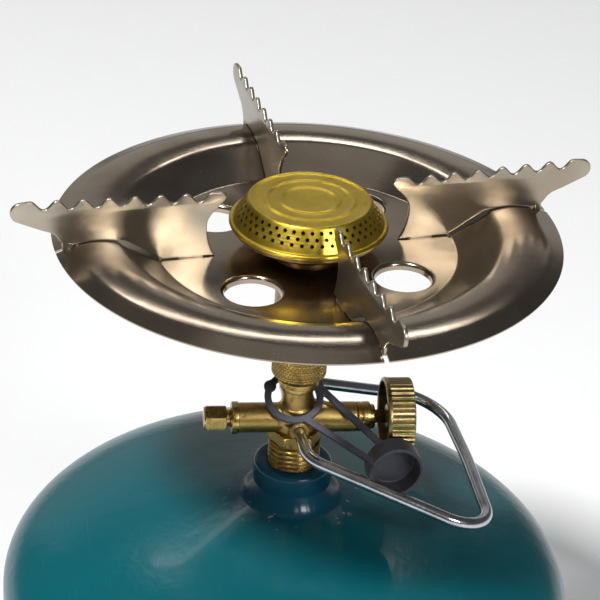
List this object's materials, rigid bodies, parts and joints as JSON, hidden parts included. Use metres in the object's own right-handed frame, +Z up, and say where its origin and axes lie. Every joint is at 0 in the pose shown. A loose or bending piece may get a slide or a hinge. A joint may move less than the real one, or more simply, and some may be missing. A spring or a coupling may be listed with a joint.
{
  "type": "camping gas cooker",
  "caption": "Camping gas cooker: perforated burner cap, dished wind guard with toothed pot supports, valve with knob and carrying bail, on a refillable steel gas cylinder.",
  "frame": {"origin": "middle of the foot ring, on the ground", "axes": "+Z up along the cylinder's axis, +X along the valve's cross axis towards the knob"},
  "size_m": [0.2422, 0.2422, 0.3028],
  "materials": {
    "teal_paint": "gloss enamel",
    "cast_brass": "aged cast and machined brass",
    "turned_brass": "turned brass",
    "dark_brass": "heat-tinted brass",
    "bright_brass": "bright stamped brass",
    "nickel_sheet": "polished nickel-plated sheet with a warm tint",
    "zinc_steel": "bright zinc plate",
    "passivated_plating": "yellow passivated plating",
    "grey_rubber": "matt moulded rubber",
    "black_rubber": "matt rubber",
    "seal_plastic": "sintered seal plastic",
    "spring_steel": "drawn wire"
  },
  "bodies": {
    "bottle": {"cylinder_upper_shell": "teal_paint", "cylinder_lower_shell": "teal_paint", "cylinder_girth_weld": "teal_paint", "foot_ring": "teal_paint", "valve_boss": "teal_paint", "boss_weld": "teal_paint", "valve_body": "cast_brass", "relief_spring": "spring_steel", "relief_cap_nut": "turned_brass", "gland_packing": "seal_plastic", "gland_nut": "turned_brass", "dust_cap": "grey_rubber"},
    "relief_valve": {"relief_piston": "turned_brass", "relief_seal": "black_rubber"},
    "seat_pad": {"valve_seat_pad": "seal_plastic"},
    "knob_and_spindle": {"spindle": "dark_brass", "knob": "passivated_plating", "knob_screw": "zinc_steel"},
    "bail": {"carrying_bail": "zinc_steel"},
    "washer": {"outlet_washer": "black_rubber"},
    "burner": {"coupling_sleeve": "turned_brass", "injector_jet": "turned_brass", "mixing_tube": "dark_brass", "dish_locknut": "nickel_sheet", "wind_dish": "nickel_sheet", "burner_cup": "dark_brass", "burner_cap": "bright_brass"},
    "support_right": {"pot_support_right": "nickel_sheet"},
    "support_back": {"pot_support_back": "nickel_sheet"},
    "support_left": {"pot_support_left": "nickel_sheet"},
    "support_front": {"pot_support_front": "nickel_sheet"}
  },
  "joints": [
    {"name": "relief_lift", "type": "slide", "parent": "bottle", "child": "relief_valve", "axis": [-1, 0, 0], "range_m": [0, 0.001], "stiffness_N_per_m": 2000, "springref_m": -0.003, "deforming": ["relief_spring"]},
    {"name": "seat_pad_slide", "type": "slide", "parent": "bottle", "child": "seat_pad", "axis": [1, 0, 0], "range_m": [0, 0.0015]},
    {"name": "knob_turn", "type": "hinge", "parent": "seat_pad", "child": "knob_and_spindle", "pos_m": [0.02, 0, 0.194], "axis": [1, 0, 0], "range_deg": [0, 540]},
    {"name": "bail_swing", "type": "hinge", "parent": "bottle", "child": "bail", "pos_m": [0, 0, 0.1925], "axis": [0.0698, -0.9976, 0], "range_deg": [0, 80]},
    {"name": "burner_rise", "type": "slide", "parent": "bottle", "child": "washer", "axis": [0, 0, 1], "range_m": [0, 0.006]},
    {"name": "burner_unscrew", "type": "hinge", "parent": "washer", "child": "burner", "pos_m": [0, 0, 0.2735], "axis": [0, 0, 1], "range_deg": [0, 1440]},
    {"name": "support_right_lift", "type": "slide", "parent": "burner", "child": "support_right", "axis": [0, 0, 1], "range_m": [0, 0.03]},
    {"name": "support_back_lift", "type": "slide", "parent": "burner", "child": "support_back", "axis": [0, 0, 1], "range_m": [0, 0.03]},
    {"name": "support_left_lift", "type": "slide", "parent": "burner", "child": "support_left", "axis": [0, 0, 1], "range_m": [0, 0.03]},
    {"name": "support_front_lift", "type": "slide", "parent": "burner", "child": "support_front", "axis": [0, 0, 1], "range_m": [0, 0.03]}
  ],
  "couplings": [
    {"joint": "seat_pad_slide", "follows": "knob_turn", "m_per_rad": 0.000159},
    {"joint": "burner_rise", "follows": "burner_unscrew", "m_per_rad": 0.0002387}
  ]
}
